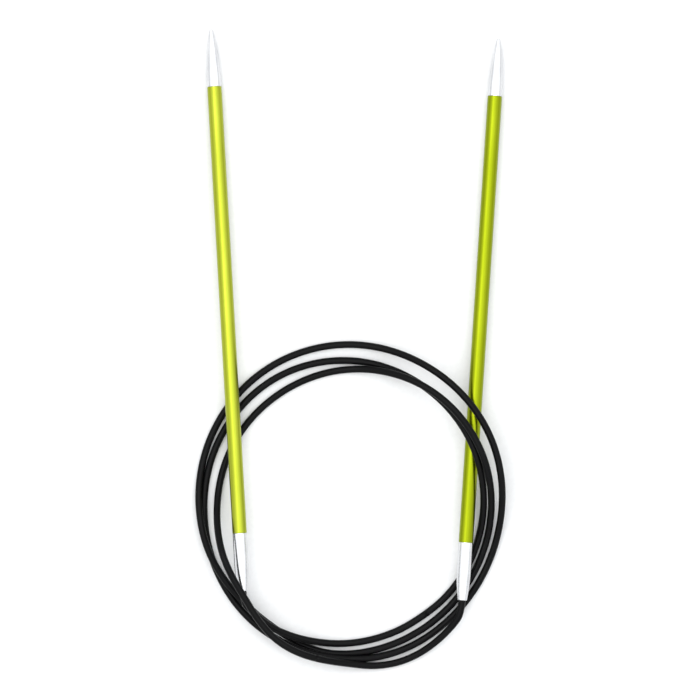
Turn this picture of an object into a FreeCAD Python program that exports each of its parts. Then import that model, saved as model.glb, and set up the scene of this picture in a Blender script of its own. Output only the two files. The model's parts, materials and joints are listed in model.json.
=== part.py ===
"""Circular knitting needle: two straight needles joined by one long flexible cable, lying coiled.

Each needle is a turned point pressed into an anodised barrel, and a ferrule pressed on the barrel's
rear neck.  The cable's end sits in a crimped sleeve that turns inside the ferrule's stepped bore, so
the needle can spin on the cable.  The cable runs from one ferrule, three and a quarter times round a
loose coil, to the other ferrule.

Millimetres.  +Z is up from the table, +Y runs from the ferrules towards the points, and the origin is
on the table under the middle of the two needles.
"""
import FreeCAD, Part
import Sketcher
import os
from math import asin, cos, pi, radians, sin, sqrt, tan

V = FreeCAD.Vector

SIZES = [
    ("needle_length", 136.0, "ferrule mouth to tip"),
    ("barrel_radius", 1.75, "needle size 3.5 mm"),
    ("barrel_bore", 0.9, "radius of the hole along the barrel"),
    ("edge_break", 0.08, "chamfer at the seams"),
    ("point_length", 14.0, "bare point, barrel to tip"),
    ("shank_length", 8.0, "shank of the point inside the barrel"),
    ("nose_radius", 0.5, "rounded end of the point"),
    ("ferrule_length", 14.0, "mouth to barrel"),
    ("ferrule_taper", 8.0, "length that narrows towards the mouth"),
    ("mouth_radius", 1.15, "outside of the mouth"),
    ("mouth_bore", 0.89, "radius of the hole that the cable leaves by"),
    ("step_height", 3.0, "where the bore widens, from the mouth"),
    ("seat_bore", 1.25, "radius of the wide bore"),
    ("neck_length", 3.5, "turned-down rear end of the barrel"),
    ("cable_radius", 0.85, "cable 1.7 mm"),
    ("sleeve_radius", 1.2, "crimped sleeve on the cable's end"),
    ("sleeve_length", 7.3, "crimped sleeve on the cable's end"),
    ("sleeve_play", 0.1, "end play of the sleeve on the bore's step"),
    ("flex_offset", 0.5, "bending point of the cable, outside the mouth"),
    ("flex_gap", 0.02, "between the cable's ball end and its end in the ferrule"),
    ("left_centre_x", -30.91, "middle of the left needle"),
    ("left_centre_y", 1.17, "middle of the left needle"),
    ("left_heading", 3.28, "degrees: the left needle leans to the left"),
    ("left_mouth_height", 6.5, "the left ferrule is held up by its cable"),
    ("right_centre_x", 30.27, "middle of the right needle"),
    ("right_centre_y", -1.1, "middle of the right needle"),
    ("right_heading", -3.75, "degrees: the right needle leans to the right"),
    ("right_mouth_height", 4.6, "the right ferrule lies on the coil"),
    ("coil_x", -1.0, "middle of the coil"),
    ("coil_y", -46.53, "middle of the coil"),
    ("coil_skin", 0.05, "how far the coil's solid stands off its turns"),
]

# The cable's distance from the coil's middle at angles that go on counting anticlockwise, turn after
# turn, from 270 degrees at the bottom of the coil: it starts innermost, crosses between the other
# turns, and ends outermost.
COIL_ROUTE = [
    (270, 33.0), (300, 31.7), (330, 31.6), (360, 32.0), (390, 33.0), (420, 34.1),
    (450, 35.4), (480, 36.1), (510, 35.8), (540, 35.5), (565, 35.9), (585, 36.4),
    (615, 36.6), (645, 36.8), (675, 36.0), (700, 35.9), (720, 36.4), (750, 37.8),
    (780, 38.6), (810, 39.3), (840, 39.1), (870, 38.0), (900, 36.7), (920, 35.85),
    (940, 34.6), (960, 34.6), (978, 35.8), (1000, 35.0), (1020, 34.2), (1050, 33.7),
    (1080, 33.9), (1110, 34.2), (1140, 34.1), (1170, 33.3), (1200, 32.4), (1230, 32.2),
    (1260, 32.3), (1282, 32.9), (1300, 33.4), (1322, 36.3), (1345, 37.4), (1362, 38.5),
    (1385, 38.9),
]

# Where a turn rides over a needle or another turn: angle at the middle of the rise, half of its flat
# top, length of each ramp (degrees), rise (mm).
COIL_RISES = [
    (395.0, 16.0, 33.0, 6.5),
    (612.0, 18.0, 22.0, 1.75),
    (754.0, 20.0, 32.0, 6.5),
    (926.0, 18.0, 26.0, 1.75),
    (1119.0, 18.0, 36.0, 8.0),
]

# The stretch of cable that the coil's solid holds; the rest is in the two leads.
COIL_FROM = 279.0
COIL_TO = 1362.0
COIL_SECTIONS = 60

# Routes of the cable between the ferrules and the coil, after the straight exit: x, y, height.
LEFT_EXIT_RUN = 2.6
LEFT_ROUTE = [
    (-24.6, -71.7, 6.1),
    (-21.3, -74.9, 5.0),
    (-16.0, -77.5, 3.5),
    (-10.0, -79.1, 2.0),
    (-3.8, -79.7, 1.0),
    (2.2, -79.1, 0.86),
    (7.6, -77.6, 0.86),
    (12.6, -75.4, 0.86),
]
RIGHT_EXIT_RUN = 2.6
RIGHT_ROUTE = [
    (23.9, -74.7, 4.1),
    (20.4, -78.4, 2.8),
    (16.5, -81.4, 1.6),
    (12.6, -83.4, 0.95),
    (8.6, -84.6, 0.86),
    (3.8, -85.0, 0.86),
]


def make_sheet(doc):
    """Put the driving dimensions in a spreadsheet."""
    sheet = doc.addObject("Spreadsheet::Sheet", "Sizes")
    for row, (alias, number, words) in enumerate(SIZES, start=1):
        sheet.set(f"A{row}", alias)
        sheet.set(f"B{row}", str(number))
        sheet.set(f"C{row}", words)
        sheet.setAlias(f"B{row}", alias)
    doc.recompute()
    return sheet


# ---- turned pieces -------------------------------------------------------------------------------

def cells(words):
    """Write an expression's cell names in full: every word of it is a cell of the sheet."""
    return "".join(f"Sizes.{part}" if part[0].isalpha() else part for part in words.split())


def outward_arc(start, end, radius):
    """An arc from start to end that bulges away from the axis and towards the tip."""
    chord = end - start
    side = V(-chord.y, chord.x, 0).normalize()
    if side.x < 0:
        side = -side
    rise = radius - sqrt(radius ** 2 - (chord.Length / 2) ** 2)
    return Part.Arc(start, (start + end) / 2 + side * rise, end)


def corner_end(sketch, edge, corner):
    """Say whether a sketch edge starts (1) or ends (2) at a corner."""
    gap = sketch.getPoint(edge, 1) - corner
    return 1 if gap.Length < 1e-6 else 2


def turned_body(doc, label, outline):
    """Turn a closed outline about the body's Z axis.

    Each corner is (radius, height, arc): expressions of cells, and the radius of the arc that leads
    to the next corner, or None where a straight edge does.
    """
    body = doc.addObject("PartDesign::Body", label)
    body.Label = label
    plane = next(item for item in body.Origin.OriginFeatures if item.Role == "XZ_Plane")
    sketch = body.newObject("Sketcher::SketchObject", label + "_outline")
    sketch.AttachmentSupport = (plane, [""])
    sketch.MapMode = "FlatFace"
    outline = [tuple(words and cells(words) for words in corner) for corner in outline]
    corners = [V(sketch.evalExpression(r), sketch.evalExpression(z), 0) for r, z, arc in outline]
    count = len(outline)
    for index, (r, z, arc) in enumerate(outline):
        start, end = corners[index], corners[(index + 1) % count]
        edge = outward_arc(start, end, sketch.evalExpression(arc)) if arc else Part.LineSegment(start, end)
        sketch.addGeometry(edge, False)
    for index in range(count):
        after = (index + 1) % count
        here, there = (corner_end(sketch, edge, corners[after]) for edge in (index, after))
        sketch.addConstraint(Sketcher.Constraint("Coincident", index, here, after, there))
    for index, (r, z, arc) in enumerate(outline):
        corner, end = corners[index], corner_end(sketch, index, corners[index])
        if corner.x == 0:
            sketch.addConstraint(Sketcher.Constraint("PointOnObject", index, end, -2))
        else:
            bind(sketch, Sketcher.Constraint("DistanceX", -1, 1, index, end, corner.x), r)
        bind(sketch, Sketcher.Constraint("DistanceY", -1, 1, index, end, corner.y), z)
        if arc:
            bind(sketch, Sketcher.Constraint("Radius", index, sketch.evalExpression(arc)), arc)
    turned = body.newObject("PartDesign::Revolution", label + "_turned")
    turned.Profile = sketch
    turned.ReferenceAxis = (sketch, ["V_Axis"])
    turned.Angle = 360
    body.Tip = turned
    return body


def bind(sketch, constraint, expression):
    """Add a dimension to a sketch and tie it to the sheet."""
    place = sketch.addConstraint(constraint)
    sketch.setExpression(f"Constraints[{place}]", expression)


def make_point(doc, label):
    """The bare point: a shank, then an ogive that ends in a small round nose."""
    base = "needle_length - point_length"
    nose = "needle_length - nose_radius"
    ogive = "( ( point_length - nose_radius ) ^ 2 + ( barrel_radius - nose_radius ) ^ 2 )"
    ogive += " / ( 2 * ( barrel_radius - nose_radius ) )"
    return turned_body(doc, label, [
        ("0 * barrel_radius", base + " - shank_length", None),
        ("barrel_bore - edge_break", base + " - shank_length", None),
        ("barrel_bore", base + " - shank_length + edge_break", None),
        ("barrel_bore", base, None),
        ("barrel_radius - edge_break", base, None),
        ("barrel_radius", base + " + edge_break", ogive),
        ("nose_radius", nose, "nose_radius"),
        ("0 * barrel_radius", "needle_length", None),
    ])


def make_barrel(doc, label):
    """The anodised barrel: a tube with a turned-down neck at its rear end."""
    rear, front = "ferrule_length", "needle_length - point_length"
    return turned_body(doc, label, [
        ("barrel_bore", rear + " - neck_length", None),
        ("seat_bore", rear + " - neck_length", None),
        ("seat_bore", rear, None),
        ("barrel_radius - edge_break", rear, None),
        ("barrel_radius", rear + " + edge_break", None),
        ("barrel_radius", front + " - edge_break", None),
        ("barrel_radius - edge_break", front, None),
        ("barrel_bore", front, None),
    ])


def make_ferrule(doc, label):
    """The ferrule: a stepped bore, and an outside that narrows to the mouth in one long curve."""
    narrow = "barrel_radius - mouth_radius"
    taper = "ferrule_taper - edge_break"
    curve = f"( ( {taper} ) ^ 2 + ( {narrow} ) ^ 2 ) / ( 2 * ( {narrow} ) )"
    return turned_body(doc, label, [
        ("mouth_bore", "0 * barrel_radius", None),
        ("mouth_radius - edge_break", "0 * barrel_radius", None),
        ("mouth_radius", "edge_break", curve),
        ("barrel_radius", "ferrule_taper", None),
        ("barrel_radius", "ferrule_length - edge_break", None),
        ("barrel_radius - edge_break", "ferrule_length", None),
        ("seat_bore", "ferrule_length", None),
        ("seat_bore", "step_height", None),
        ("mouth_bore", "step_height", None),
    ])


def make_sleeve(doc, label):
    """The crimped sleeve that holds the cable's end and turns in the ferrule's wide bore."""
    rear = "step_height + sleeve_play"
    front = rear + " + sleeve_length"
    return turned_body(doc, label, [
        ("cable_radius", rear, None),
        ("sleeve_radius - edge_break", rear, None),
        ("sleeve_radius", rear + " + edge_break", None),
        ("sleeve_radius", front + " - edge_break", None),
        ("sleeve_radius - edge_break", front, None),
        ("cable_radius", front, None),
    ])


def make_cable_end(doc, label):
    """The last stretch of the cable, inside the ferrule and its sleeve."""
    rear = "cable_radius + flex_gap - flex_offset"
    front = "step_height + sleeve_play + sleeve_length"
    return turned_body(doc, label, [
        ("0 * barrel_radius", rear, None),
        ("cable_radius", rear, None),
        ("cable_radius", front, None),
        ("0 * barrel_radius", front, None),
    ])


# ---- where the needles lie -----------------------------------------------------------------------

def needle_line(sheet, side):
    """A needle's mouth and its direction towards the tip.

    The root of the point's curve rests on the table and the mouth is held at its own height.
    """
    heading = radians(getattr(sheet, side + "_heading"))
    height = getattr(sheet, side + "_mouth_height")
    reach = sheet.needle_length - sheet.point_length
    narrow = sheet.barrel_radius - sheet.nose_radius
    ogive = ((sheet.point_length - sheet.nose_radius) ** 2 + narrow ** 2) / (2 * narrow)
    tilt = 0.0
    for attempt in range(5):
        rest = ogive - (ogive - sheet.barrel_radius) * cos(tilt)
        tilt = asin((height - rest) / reach)
    along = V(-sin(heading) * cos(tilt), cos(heading) * cos(tilt), -sin(tilt))
    middle = V(getattr(sheet, side + "_centre_x"), getattr(sheet, side + "_centre_y"), 0)
    mouth = middle - along * (sheet.needle_length / 2)
    mouth.z = height
    return mouth, along


def place_needle(bodies, mouth, along):
    """Lay a needle's pieces along its line."""
    turn = FreeCAD.Rotation(V(0, 0, 1), along)
    for body in bodies:
        body.Placement = FreeCAD.Placement(mouth, turn)


# ---- the cable -----------------------------------------------------------------------------------

def eased(share):
    """A smooth step from 0 to 1."""
    share = min(max(share, 0.0), 1.0)
    return (1 - cos(pi * share)) / 2


def coil_radius(angle):
    """The cable's distance from the coil's middle: a smooth curve through the listed places."""
    last = len(COIL_ROUTE) - 1
    index = max(number for number in range(last) if number == 0 or COIL_ROUTE[number][0] <= angle)
    before, here, there, beyond = (
        COIL_ROUTE[min(max(number, 0), last)] for number in range(index - 1, index + 3)
    )
    span = there[0] - here[0]
    share = (angle - here[0]) / span
    leave = span * (there[1] - before[1]) / (there[0] - before[0])
    arrive = span * (beyond[1] - here[1]) / (beyond[0] - here[0])
    rise = there[1] - here[1]
    bend = 3 * rise - 2 * leave - arrive
    twist = leave + arrive - 2 * rise
    return here[1] + share * (leave + share * (bend + share * twist))


def coil_height(sheet, angle):
    """The height of the cable's middle: on the table, plus every rise at this angle."""
    height = sheet.cable_radius
    for middle, flat, ramp, rise in COIL_RISES:
        height += rise * eased(1 - (abs(angle - middle) - flat) / ramp)
    return height


def coil_section(sheet, angle):
    """The lowest and highest radius and height that the coil's turns reach at one angle."""
    passes = []
    turn = angle
    while turn <= COIL_TO:
        if turn >= COIL_FROM:
            passes.append((coil_radius(turn), coil_height(sheet, turn)))
        turn += 360
    skin = sheet.cable_radius + sheet.coil_skin
    inner = min(radius for radius, height in passes) - skin
    outer = max(radius for radius, height in passes) + skin
    low = max(min(height for radius, height in passes) - skin, 0)
    high = max(height for radius, height in passes) + skin
    return inner, outer, low, high


def make_coil(doc, sheet, label):
    """One closed ring of the outer shape of all the turns, with flat facets and bevelled shoulders."""
    rings = []
    for number in range(COIL_SECTIONS):
        angle = 360.0 * number / COIL_SECTIONS
        inner, outer, low, high = coil_section(sheet, angle)
        bevel = sheet.cable_radius / 2
        outline = [
            (inner, low + bevel), (inner + bevel, low), (outer - bevel, low), (outer, low + bevel),
            (outer, high - bevel), (outer - bevel, high), (inner + bevel, high), (inner, high - bevel),
        ]
        ahead = V(cos(radians(angle)), sin(radians(angle)), 0)
        middle = V(sheet.coil_x, sheet.coil_y, 0)
        rings.append([middle + ahead * radius + V(0, 0, height) for radius, height in outline])
    facets = []
    for number, ring in enumerate(rings):
        after = rings[(number + 1) % COIL_SECTIONS]
        for side in range(len(ring)):
            beside = (side + 1) % len(ring)
            for three in ((ring[side], after[side], after[beside]), (ring[side], after[beside], ring[beside])):
                facets.append(Part.Face(Part.makePolygon([*three, three[0]])))
    shell = Part.Shell(facets)
    shell.sewShape()
    solid = Part.Solid(shell)
    if solid.Volume < 0:
        solid.reverse()
    coil = doc.addObject("Part::Feature", label)
    coil.Label = label
    coil.Shape = solid
    return coil


def rounded_path(points):
    """Straight runs joined by tangent arcs, each as large as its two runs allow."""
    edges, bends = [], []
    start = points[0]
    for before, corner, after in zip(points, points[1:], points[2:]):
        back, ahead = before - corner, after - corner
        turn = pi - back.getAngle(ahead)
        trim = 0.45 * min(back.Length, ahead.Length)
        radius = trim / tan(turn / 2)
        inward, outward = back.normalize(), ahead.normalize()
        first, last = corner + inward * trim, corner + outward * trim
        middle = (inward + outward).normalize()
        centre = corner + middle * (radius / cos(turn / 2))
        edges.append(Part.LineSegment(start, first).toShape())
        edges.append(Part.Arc(first, centre - middle * radius, last).toShape())
        bends.append(radius)
        start = last
    edges.append(Part.LineSegment(start, points[-1]).toShape())
    return Part.Wire(edges), bends


def make_lead(doc, sheet, label, points):
    """The cable between a ferrule and the coil, with a ball end at the point where it bends."""
    path, bends = rounded_path(points)
    radius = sheet.cable_radius
    circle = Part.makeCircle(radius, points[0], points[1] - points[0])
    tube = path.makePipeShell([Part.Wire(circle)], True, False)
    dome = Part.makeSphere(radius, points[0], points[0] - points[1], 0, 90, 360)
    expected = path.Length * pi * radius ** 2
    print(f"{label}: length {path.Length:.1f}, volume {tube.Volume:.1f} for {expected:.1f},",
          "radii", [round(bend, 1) for bend in bends])
    lead = doc.addObject("Part::Feature", label)
    lead.Label = label
    lead.Shape = tube.fuse(dome)
    return lead


def coil_length(sheet):
    """The length of the cable's middle line within the coil."""
    steps = 2000
    spots = []
    for number in range(steps + 1):
        angle = COIL_FROM + (COIL_TO - COIL_FROM) * number / steps
        radius = coil_radius(angle)
        spots.append(V(radius * cos(radians(angle)), radius * sin(radians(angle)),
                       coil_height(sheet, angle)))
    return sum((there - here).Length for here, there in zip(spots, spots[1:]))


# ---- the whole object ----------------------------------------------------------------------------

def main():
    doc = FreeCAD.newDocument("circular_needle")
    sheet = make_sheet(doc)
    pieces = []
    for side, run, route in (("left", LEFT_EXIT_RUN, LEFT_ROUTE), ("right", RIGHT_EXIT_RUN, RIGHT_ROUTE)):
        bodies = [
            make_point(doc, side + "_point"),
            make_barrel(doc, side + "_barrel"),
            make_ferrule(doc, side + "_ferrule"),
            make_sleeve(doc, side + "_crimp_sleeve"),
            make_cable_end(doc, side + "_cable_end"),
        ]
        mouth, along = needle_line(sheet, side)
        place_needle(bodies, mouth, along)
        bend = mouth - along * sheet.flex_offset
        points = [bend, bend - along * run] + [V(*place) for place in route]
        pieces += bodies
        pieces.append(make_lead(doc, sheet, side + "_cable_lead", points))
        print(side, "mouth", [round(n, 3) for n in mouth], "along", [round(n, 5) for n in along],
              "bend", [round(n, 3) for n in bend])
    pieces.append(make_coil(doc, sheet, "cable_coil"))
    doc.recompute()
    print(f"cable_coil: length of cable {coil_length(sheet):.1f}")
    check(doc, pieces)
    os.makedirs("parts", exist_ok=True)
    for piece in pieces:
        piece.Shape.exportStep(f"parts/{piece.Label}.step")


def check(doc, pieces):
    """Stop if any object failed to build."""
    for item in doc.Objects:
        if "Invalid" in item.State or "Error" in item.State:
            raise RuntimeError(f"{item.Label} failed: {item.State}")
    for piece in pieces:
        shape = piece.Shape
        if shape.isNull() or not shape.isValid() or len(shape.Solids) != 1:
            raise RuntimeError(f"{piece.Label} is not one valid solid")
        box = shape.BoundBox
        print(f"{piece.Label}: {shape.Volume:.2f} mm3, x {box.XMin:.2f} {box.XMax:.2f},",
              f"y {box.YMin:.2f} {box.YMax:.2f}, z {box.ZMin:.3f} {box.ZMax:.2f}")


main()
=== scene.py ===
"""The looks of the circular knitting needle: two anodised needles on one coiled nylon cable.

Metres, in the part's own frame: +Z is up from the table and +Y runs from the ferrules to the points.
"""

import json
import math

import bpy
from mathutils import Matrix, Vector


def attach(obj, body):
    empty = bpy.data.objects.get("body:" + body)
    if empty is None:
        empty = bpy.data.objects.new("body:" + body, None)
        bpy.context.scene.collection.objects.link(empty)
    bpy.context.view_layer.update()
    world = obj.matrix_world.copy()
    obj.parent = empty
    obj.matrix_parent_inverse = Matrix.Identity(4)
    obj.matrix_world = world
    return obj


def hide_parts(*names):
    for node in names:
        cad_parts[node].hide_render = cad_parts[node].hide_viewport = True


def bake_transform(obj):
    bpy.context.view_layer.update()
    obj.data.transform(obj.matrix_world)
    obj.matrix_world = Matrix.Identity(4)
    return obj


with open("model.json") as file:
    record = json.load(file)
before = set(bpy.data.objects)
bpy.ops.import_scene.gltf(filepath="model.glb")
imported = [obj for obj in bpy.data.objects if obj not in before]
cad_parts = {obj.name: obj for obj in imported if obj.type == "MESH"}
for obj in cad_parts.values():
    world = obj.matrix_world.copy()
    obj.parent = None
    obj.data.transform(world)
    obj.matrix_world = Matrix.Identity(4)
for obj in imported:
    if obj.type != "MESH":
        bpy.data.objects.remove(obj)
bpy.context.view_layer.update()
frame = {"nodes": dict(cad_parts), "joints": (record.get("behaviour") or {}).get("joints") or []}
joints = {joint["name"]: joint for joint in frame["joints"]}

MM_PER_M = 1000

# ---- the cable's route ---------------------------------------------------------------------------

CABLE_DIAMETER = .0017
CABLE_RADIUS = CABLE_DIAMETER / 2

# The coil's middle, and the cable's distance from it at angles that go on counting anticlockwise from
# the bottom, turn after turn.
COIL_X, COIL_Y = -.0010, -.04653
COIL_ROUTE = [
    (270, .0330), (300, .0317), (330, .0316), (360, .0320), (390, .0330), (420, .0341),
    (450, .0354), (480, .0361), (510, .0358), (540, .0355), (565, .0359), (585, .0364),
    (615, .0366), (645, .0368), (675, .0360), (700, .0359), (720, .0364), (750, .0378),
    (780, .0386), (810, .0393), (840, .0391), (870, .0380), (900, .0367), (920, .03585),
    (940, .0346), (960, .0346), (978, .0358), (1000, .0350), (1020, .0342), (1050, .0337),
    (1080, .0339), (1110, .0342), (1140, .0341), (1170, .0333), (1200, .0324), (1230, .0322),
    (1260, .0323), (1282, .0329), (1300, .0334), (1322, .0367), (1345, .0374), (1362, .0385),
    (1385, .0389),
]

# Where a turn rides over a needle, a ferrule or another turn: angle at the middle of the rise, half of
# its flat top, length of each ramp (degrees), rise.
COIL_RISES = [
    (395, 16, 33, .0060),
    (608, 14, 24, .0017),
    (754, 20, 32, .0060),
    (926, 18, 26, .0017),
    (1119, 18, 36, .0077),
    (1306, 24, 31, .0082),
]
COIL_FIRST, COIL_LAST, COIL_STEP = 310, 1350, 10

# The route between each ferrule and the coil, after the straight exit.
LEFT_EXIT_RUN = .0031
LEFT_ROUTE = [
    (-.0246, -.0717, .0061), (-.0213, -.0749, .0050), (-.0160, -.0775, .0035),
    (-.0100, -.0791, .0020), (-.0038, -.0797, .0010), (.0022, -.0791, .00086),
    (.0076, -.0776, .00086), (.0126, -.0754, .00086),
]
RIGHT_EXIT_RUN = .0031
RIGHT_ROUTE = [
    (.0239, -.0747, .0041), (.0204, -.0784, .0028), (.0165, -.0814, .0016),
    (.0126, -.0834, .00095), (.0086, -.0846, .0009), (.0038, -.0850, .0016),
]
INSIDE_MOUTH = .0005


def eased(share):
    """A smooth step from 0 to 1."""
    share = min(max(share, 0.0), 1.0)
    return (1 - math.cos(math.pi * share)) / 2


def coil_radius(angle):
    """The cable's distance from the coil's middle: a smooth curve through the listed places."""
    last = len(COIL_ROUTE) - 1
    index = max(number for number in range(last) if number == 0 or COIL_ROUTE[number][0] <= angle)
    before, here, there, beyond = (
        COIL_ROUTE[min(max(number, 0), last)] for number in range(index - 1, index + 3)
    )
    span = there[0] - here[0]
    share = (angle - here[0]) / span
    leave = span * (there[1] - before[1]) / (there[0] - before[0])
    arrive = span * (beyond[1] - here[1]) / (beyond[0] - here[0])
    rise = there[1] - here[1]
    bend = 3 * rise - 2 * leave - arrive
    twist = leave + arrive - 2 * rise
    return here[1] + share * (leave + share * (bend + share * twist))


def coil_height(angle):
    """The height of the cable's middle: on the table, plus every rise at this angle."""
    height = CABLE_RADIUS
    for middle, flat, ramp, rise in COIL_RISES:
        height += rise * eased(1 - (abs(angle - middle) - flat) / ramp)
    return height


def exit_points(swivel, run):
    """The straight stretch out of a ferrule: from just inside its mouth to the end of the run."""
    mouth, along = Vector(swivel["pos_m"]), Vector(swivel["axis"])
    return [mouth + along * INSIDE_MOUTH, mouth - along * run]


def route_points():
    """The cable's control points, from inside the left ferrule's mouth to inside the right one's."""
    points = exit_points(joints["left_swivel"], LEFT_EXIT_RUN) + LEFT_ROUTE
    # The spline touches the middles of the lines between its control points, so these lie outside it.
    for angle in range(COIL_FIRST, COIL_LAST + 1, COIL_STEP):
        reach = coil_radius(angle) / math.cos(math.radians(COIL_STEP / 2))
        turn = math.radians(angle)
        x, y = COIL_X + reach * math.cos(turn), COIL_Y + reach * math.sin(turn)
        points.append((x, y, coil_height(angle)))
    points += RIGHT_ROUTE[::-1]
    points += exit_points(joints["right_swivel"], RIGHT_EXIT_RUN)[::-1]
    return points


# ---- camera --------------------------------------------------------------------------------------

VIEW_MIDDLE = (-.00122, -.00856)
VIEW_WIDTH = .1694
CAMERA_HEIGHT = 1.5
SENSOR_WIDTH = 36.0


def make_camera():
    """A long lens that looks straight down."""
    data = bpy.data.cameras.new("camera")
    data.sensor_width = SENSOR_WIDTH
    data.lens = SENSOR_WIDTH * CAMERA_HEIGHT / VIEW_WIDTH
    camera = bpy.data.objects.new("camera", data)
    camera.location = (*VIEW_MIDDLE, CAMERA_HEIGHT)
    bpy.context.scene.collection.objects.link(camera)
    bpy.context.scene.camera = camera


# ---- cable ---------------------------------------------------------------------------------------

TUBE_SIDES = 20
SPLINE_STEPS = 8
LEFT_LEAD_LENGTH = .052
RIGHT_LEAD_LENGTH = .046


def spline_line(points):
    """The points along one smooth NURBS spline that has the route's points as its control points."""
    curve = bpy.data.curves.new("cable_route", "CURVE")
    curve.dimensions = "3D"
    curve.resolution_u = SPLINE_STEPS
    spline = curve.splines.new("NURBS")
    spline.points.add(len(points) - 1)
    for place, point in zip(spline.points, points):
        place.co = (*point, 1)
    spline.order_u = 3
    spline.use_endpoint_u = True
    route = bpy.data.objects.new("cable_route", curve)
    mesh = bpy.data.meshes.new_from_object(route)
    line = [vertex.co.copy() for vertex in mesh.vertices]
    bpy.data.meshes.remove(mesh)
    bpy.data.curves.remove(curve)
    return line


def line_lengths(line):
    """The distance along the line at each of its points."""
    lengths = [0.0]
    for here, there in zip(line, line[1:]):
        lengths.append(lengths[-1] + (there - here).length)
    return lengths


def ring_frames(line):
    """The two directions across the line at each of its points, carried along without twist."""
    frames = []
    side = Vector((0, 0, 1))
    for number in range(len(line)):
        ahead = line[min(number + 1, len(line) - 1)] - line[max(number - 1, 0)]
        ahead.normalize()
        side = (side - ahead * side.dot(ahead)).normalized()
        frames.append((side, ahead.cross(side)))
    return frames


def make_tube(name, line, frames, lengths, material):
    """A closed tube along the line, with a UV map that holds millimetres round and along it."""
    corners, faces, spots = [], [], []
    for centre, (side, across) in zip(line, frames):
        for step in range(TUBE_SIDES):
            turn = 2 * math.pi * step / TUBE_SIDES
            corners.append(centre + (side * math.cos(turn) + across * math.sin(turn)) * CABLE_RADIUS)
    girth = math.pi * CABLE_DIAMETER * MM_PER_M
    for ring in range(len(line) - 1):
        for step in range(TUBE_SIDES):
            after = (step + 1) % TUBE_SIDES
            base, above = ring * TUBE_SIDES, (ring + 1) * TUBE_SIDES
            faces.append((base + step, base + after, above + after, above + step))
            left, right = girth * step / TUBE_SIDES, girth * (step + 1) / TUBE_SIDES
            low, high = lengths[ring] * MM_PER_M, lengths[ring + 1] * MM_PER_M
            spots += [(left, low), (right, low), (right, high), (left, high)]
    last = (len(line) - 1) * TUBE_SIDES
    faces.append(tuple(reversed(range(TUBE_SIDES))))
    faces.append(tuple(range(last, last + TUBE_SIDES)))
    for end in (lengths[0], lengths[-1]):
        spots += [(0, end * MM_PER_M)] * TUBE_SIDES
    mesh = bpy.data.meshes.new(name)
    mesh.from_pydata(corners, [], faces)
    layer = mesh.uv_layers.new(name="UVMap")
    for corner, spot in zip(layer.data, spots):
        corner.uv = spot
    for face in mesh.polygons:
        face.use_smooth = len(face.vertices) == 4
    mesh.materials.append(material)
    tube = bpy.data.objects.new(name, mesh)
    bpy.context.scene.collection.objects.link(tube)
    return tube


def make_cable(material):
    """The whole cable as three tubes on one spline: the turns, and a lead from them into each ferrule.
    """
    line = spline_line(route_points())
    lengths = line_lengths(line)
    frames = ring_frames(line)
    left_last = next(n for n, far in enumerate(lengths) if far > LEFT_LEAD_LENGTH)
    right_first = next(n for n, far in enumerate(lengths) if far > lengths[-1] - RIGHT_LEAD_LENGTH)
    stretches = (
        ("left_lead", 0, left_last, "left_cable_lead", "left"),
        ("cable_turns", left_last, right_first, "cable_coil", None),
        ("right_lead", right_first, len(line) - 1, "right_cable_lead", "right"),
    )
    for name, first, last, node, side in stretches:
        part = slice(first, last + 1)
        tube = make_tube(name, line[part], frames[part], lengths[part], material)
        if side:
            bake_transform(tube)
        else:
            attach(tube, "cable")
        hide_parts(node)


# ---- materials -----------------------------------------------------------------------------------

def new_material(name, **values):
    """A Principled material with constants set on its own sockets."""
    material = bpy.data.materials.new(name)
    material.use_nodes = True
    shader = material.node_tree.nodes["Principled BSDF"]
    for socket, value in values.items():
        shader.inputs[socket.replace("_", " ")].default_value = value
    return material, material.node_tree, shader


def needle_space(tree, side):
    """Coordinates in millimetres along a needle: Z runs from the ferrule's mouth to the tip."""
    swivel = joints[side + "_swivel"]
    turn = Vector(swivel["axis"]).to_track_quat("Z", "Y").inverted()
    place = tree.nodes.new("ShaderNodeTexCoord")
    mapping = tree.nodes.new("ShaderNodeMapping")
    mapping.inputs["Scale"].default_value = (MM_PER_M, MM_PER_M, MM_PER_M)
    mapping.inputs["Rotation"].default_value = turn.to_euler()
    mapping.inputs["Location"].default_value = turn @ Vector(swivel["pos_m"]) * -MM_PER_M
    tree.links.new(place.outputs["Object"], mapping.inputs["Vector"])
    return mapping.outputs["Vector"]


def tube_space(tree):
    """Millimetres round and along the cable, from its UV map."""
    return tree.nodes.new("ShaderNodeUVMap").outputs["UV"]


def noise(tree, vector, scale, detail=5.0):
    """Noise drawn out as its three scales say, in cycles per unit of the vector's space."""
    stretch = tree.nodes.new("ShaderNodeMapping")
    stretch.inputs["Scale"].default_value = scale
    pattern = tree.nodes.new("ShaderNodeTexNoise")
    pattern.inputs["Scale"].default_value = 1.0
    pattern.inputs["Detail"].default_value = detail
    tree.links.new(vector, stretch.inputs["Vector"])
    tree.links.new(stretch.outputs["Vector"], pattern.inputs["Vector"])
    return pattern.outputs["Fac"]


# A noise pattern is read from the low value to the high one and held beyond them.
NOISE_LOW, NOISE_HIGH = .3, .7


def number_between(tree, factor, low, high):
    """A number that follows a pattern."""
    span = tree.nodes.new("ShaderNodeMapRange")
    span.inputs["From Min"].default_value = NOISE_LOW
    span.inputs["From Max"].default_value = NOISE_HIGH
    span.inputs["To Min"].default_value = low
    span.inputs["To Max"].default_value = high
    tree.links.new(factor, span.inputs["Value"])
    return span.outputs["Result"]


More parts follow.
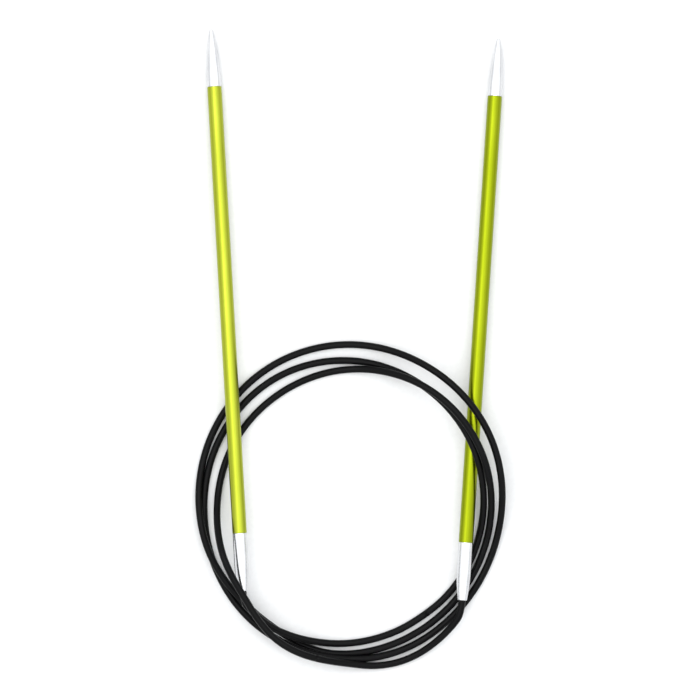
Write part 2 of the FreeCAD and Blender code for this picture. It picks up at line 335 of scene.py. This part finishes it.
def colour_between(tree, factor, *stops):
    """A colour that follows a pattern, through (place, colour) stops."""
    ramp = tree.nodes.new("ShaderNodeValToRGB")
    while len(ramp.color_ramp.elements) < len(stops):
        ramp.color_ramp.elements.new(.5)
    for element, (place, colour) in zip(ramp.color_ramp.elements, stops):
        element.position = place
        element.color = (*colour, 1)
    tree.links.new(factor, ramp.inputs["Fac"])
    return ramp.outputs["Color"]


def add_bump(tree, shader, *layers):
    """Bump from several (pattern, height in metres, strength) layers, one on the other."""
    under = None
    for pattern, height, strength in layers:
        bump = tree.nodes.new("ShaderNodeBump")
        bump.inputs["Distance"].default_value = height
        bump.inputs["Strength"].default_value = strength
        tree.links.new(pattern, bump.inputs["Height"])
        if under:
            tree.links.new(under, bump.inputs["Normal"])
        under = bump.outputs["Normal"]
    tree.links.new(under, shader.inputs["Normal"])


# One lime for both barrels, painted lighter and paler on the left (painted highlight) and darker on the
# right (painted shade); each runs through its own range in faint clouds.
LIT_AND_SHADED_ANODISED_COLOURS = {
    "left": ((.3, (.315, .36, .026)), (.5, (.335, .38, .030)), (.7, (.355, .40, .036))),
    "right": ((.3, (.225, .275, .006)), (.5, (.24, .29, .007)), (.7, (.255, .305, .009))),
}


def anodised_material(side):
    """Lime anodised aluminium: drawn lines along the tube, a satin skin, faint cloudy colour, with
    painted light in the colour: lighter on the left needle, darker on the right.
    """
    material, tree, shader = new_material(side + "_anodised", Metallic=1.0, Specular_IOR_Level=.5)
    space = needle_space(tree, side)
    clouds = noise(tree, space, (.35, .35, .05))
    lines = noise(tree, space, (9, 9, .12), 8.0)
    # The side's colours carry painted light: a painted highlight on the left barrel, painted shade on
    # the right.
    colour = colour_between(tree, clouds, *LIT_AND_SHADED_ANODISED_COLOURS[side])
    tree.links.new(colour, shader.inputs["Base Color"])
    tree.links.new(number_between(tree, lines, .27, .37), shader.inputs["Roughness"])
    add_bump(tree, shader, (lines, .000004, .5))
    return material


def bare_material(side):
    """Turned bare aluminium: fine lathe lines round the axis and a few light smudges."""
    material, tree, shader = new_material(side + "_bare_metal", Metallic=1.0, Specular_IOR_Level=.5)
    space = needle_space(tree, side)
    turned = noise(tree, space, (.6, .6, 14), 7.0)
    smudges = noise(tree, space, (.5, .5, .25))
    colour = colour_between(tree, smudges, (.3, (.62, .625, .64)), (.65, (.71, .715, .725)))
    tree.links.new(colour, shader.inputs["Base Color"])
    tree.links.new(number_between(tree, turned, .18, .28), shader.inputs["Roughness"])
    add_bump(tree, shader, (turned, .000003, .5))
    return material


def brass_material(side):
    """The crimped sleeve: plain turned brass with light crimping marks."""
    material, tree, shader = new_material(side + "_brass", Metallic=1.0, Specular_IOR_Level=.5)
    space = needle_space(tree, side)
    turned = noise(tree, space, (.6, .6, 12), 6.0)
    dents = noise(tree, space, (1.2, 1.2, .7), 2.0)
    colour = colour_between(tree, dents, (.35, (.62, .42, .16)), (.65, (.78, .56, .25)))
    tree.links.new(colour, shader.inputs["Base Color"])
    tree.links.new(number_between(tree, turned, .28, .42), shader.inputs["Roughness"])
    add_bump(tree, shader, (dents, .00004, .6), (turned, .000003, .5))
    return material


def finish_nylon(tree, shader, fine, long):
    """Black nylon: a deep black skin, fine streaks along it and slight dull patches."""
    colour = colour_between(tree, long, (.3, (.0014, .0014, .0018)), (.7, (.0034, .0033, .0033)))
    tree.links.new(colour, shader.inputs["Base Color"])
    tree.links.new(number_between(tree, long, .25, .36), shader.inputs["Roughness"])
    add_bump(tree, shader, (fine, .000004, .45), (long, .000012, .35))


def cable_material():
    """The visible cable, patterned from the tube's own map."""
    material, tree, shader = new_material("cable_nylon", IOR=1.5, Specular_IOR_Level=.08)
    space = tube_space(tree)
    finish_nylon(tree, shader, noise(tree, space, (7, .35, 1), 7.0), noise(tree, space, (1.1, .05, 1)))
    return material


def cable_end_material(side):
    """The cable's end inside the ferrule, patterned along the needle."""
    material, tree, shader = new_material(side + "_end_nylon", IOR=1.5, Specular_IOR_Level=.08)
    space = needle_space(tree, side)
    finish_nylon(tree, shader, noise(tree, space, (7, 7, .35), 7.0), noise(tree, space, (1.1, 1.1, .05)))
    return material


def dress(node, material):
    """Give a CAD piece its material."""
    piece = frame["nodes"][node]
    piece.data.materials.clear()
    piece.data.materials.append(material)


def dress_needles():
    """Give each piece of the two needles its material."""
    for side in ("left", "right"):
        bare = bare_material(side)
        dress(side + "_point", bare)
        dress(side + "_ferrule", bare)
        dress(side + "_barrel", anodised_material(side))
        dress(side + "_crimp_sleeve", brass_material(side))
        dress(side + "_cable_end", cable_end_material(side))


# ---- floor and light -----------------------------------------------------------------------------

FLOOR_SIZE = 3.0
CARD_FIBRES_PER_M = 900
TENT_COLOUR = (.97, .985, 1, 1)
# The upward part of the view direction at which the tent starts to brighten, and where it is brightest.
TENT_EDGE = (.15, .60)
TENT_LIGHT = 1.65
HORIZON_LIGHT = .95
SOFTBOX_SIZE = .30
# Name, place, power in watts and colour of each softbox.
SOFTBOXES = (
    ("left_softbox", (-.15, .05, .52), .6, (1, .985, .95)),
    ("right_softbox", (.15, .05, .52), .3, (.93, .96, 1)),
)


def make_floor():
    """A plain white sheet of card."""
    bpy.ops.mesh.primitive_plane_add(size=FLOOR_SIZE, location=(*VIEW_MIDDLE, 0))
    floor = bpy.context.object
    floor.name = "floor"
    material, tree, shader = new_material("white_card", Specular_IOR_Level=.2)
    place = tree.nodes.new("ShaderNodeTexCoord")
    fibres = noise(tree, place.outputs["Object"], (CARD_FIBRES_PER_M,) * 3)
    colour = colour_between(tree, fibres, (.3, (.72, .72, .72)), (.7, (.75, .75, .75)))
    tree.links.new(colour, shader.inputs["Base Color"])
    tree.links.new(number_between(tree, fibres, .75, .85), shader.inputs["Roughness"])
    floor.data.materials.append(material)


def add_light(name, place, power, colour):
    """A square softbox that faces the middle of the view."""
    data = bpy.data.lights.new(name, "AREA")
    data.shape = "SQUARE"
    data.size = SOFTBOX_SIZE
    data.energy = power
    data.color = colour
    light = bpy.data.objects.new(name, data)
    light.location = place
    aim = Vector((*VIEW_MIDDLE, 0)) - light.location
    light.rotation_euler = aim.to_track_quat("-Z", "Y").to_euler()
    light.visible_camera = False
    bpy.context.scene.collection.objects.link(light)


def make_room():
    """A white tent: bright over the table and dimmer towards the horizon."""
    world = bpy.data.worlds.new("room")
    world.use_nodes = True
    tree = world.node_tree
    back = tree.nodes["Background"]
    back.inputs["Color"].default_value = TENT_COLOUR
    direction = tree.nodes.new("ShaderNodeTexCoord")
    parts = tree.nodes.new("ShaderNodeSeparateXYZ")
    height = tree.nodes.new("ShaderNodeMapRange")
    height.interpolation_type = "SMOOTHSTEP"
    height.inputs["From Min"].default_value = TENT_EDGE[0]
    height.inputs["From Max"].default_value = TENT_EDGE[1]
    height.inputs["To Min"].default_value = HORIZON_LIGHT
    height.inputs["To Max"].default_value = TENT_LIGHT
    tree.links.new(direction.outputs["Generated"], parts.inputs["Vector"])
    tree.links.new(parts.outputs["Z"], height.inputs["Value"])
    tree.links.new(height.outputs["Result"], back.inputs["Strength"])
    bpy.context.scene.world = world
    bpy.context.scene.view_settings.view_transform = "Standard"


# ---- the scene -----------------------------------------------------------------------------------

make_camera()
make_cable(cable_material())
dress_needles()
make_floor()
make_room()
for softbox in SOFTBOXES:
    add_light(*softbox)
